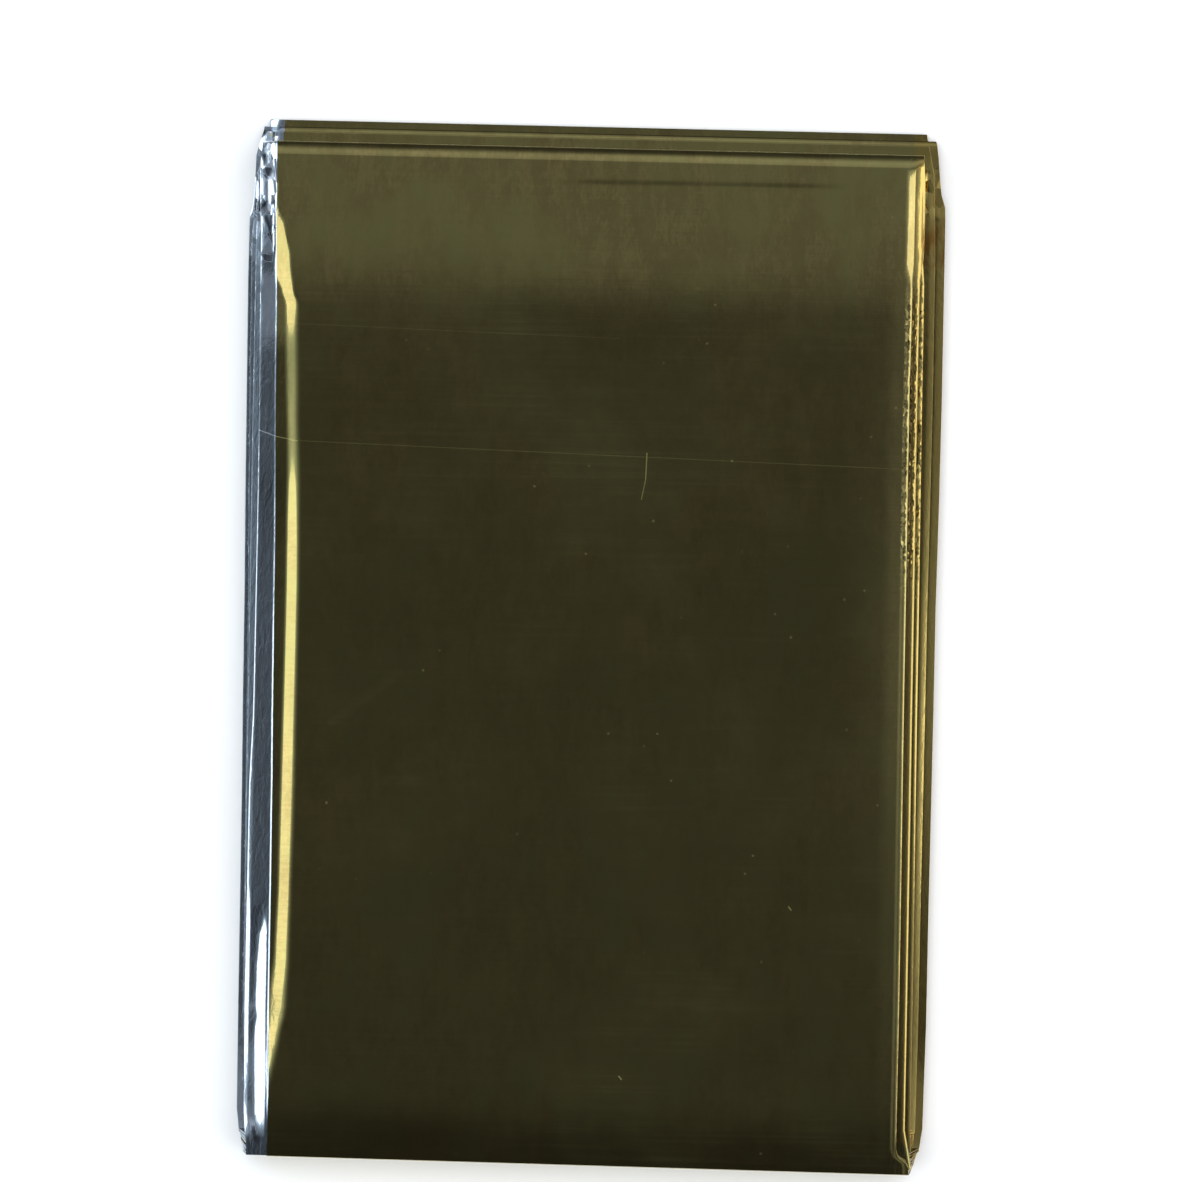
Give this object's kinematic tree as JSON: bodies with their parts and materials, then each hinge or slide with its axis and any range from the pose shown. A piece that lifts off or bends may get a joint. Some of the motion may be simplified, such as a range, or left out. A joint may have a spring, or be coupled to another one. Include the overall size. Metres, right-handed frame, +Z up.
{
  "type": "emergency foil blanket, folded",
  "caption": "Gold and silver emergency foil blanket, folded to a flat mirror-bright pad with stepped, crinkled fold edges.",
  "frame": {"origin": "bottom centre of the bounding box, on the surface the pad lies on", "axes": "+Z up out of the pad's gold top panel, +Y along the pad's length towards its loose ends, +X towards the side with the strip's folds"},
  "size_m": [0.089, 0.1336, 0.0115],
  "materials": {
    "gold_foil": "mirror-bright gold metallised film, silver on its other side, finely creased along the folds"
  },
  "bodies": {
    "root": {"foil_blanket": "gold_foil"}
  },
  "joints": []
}
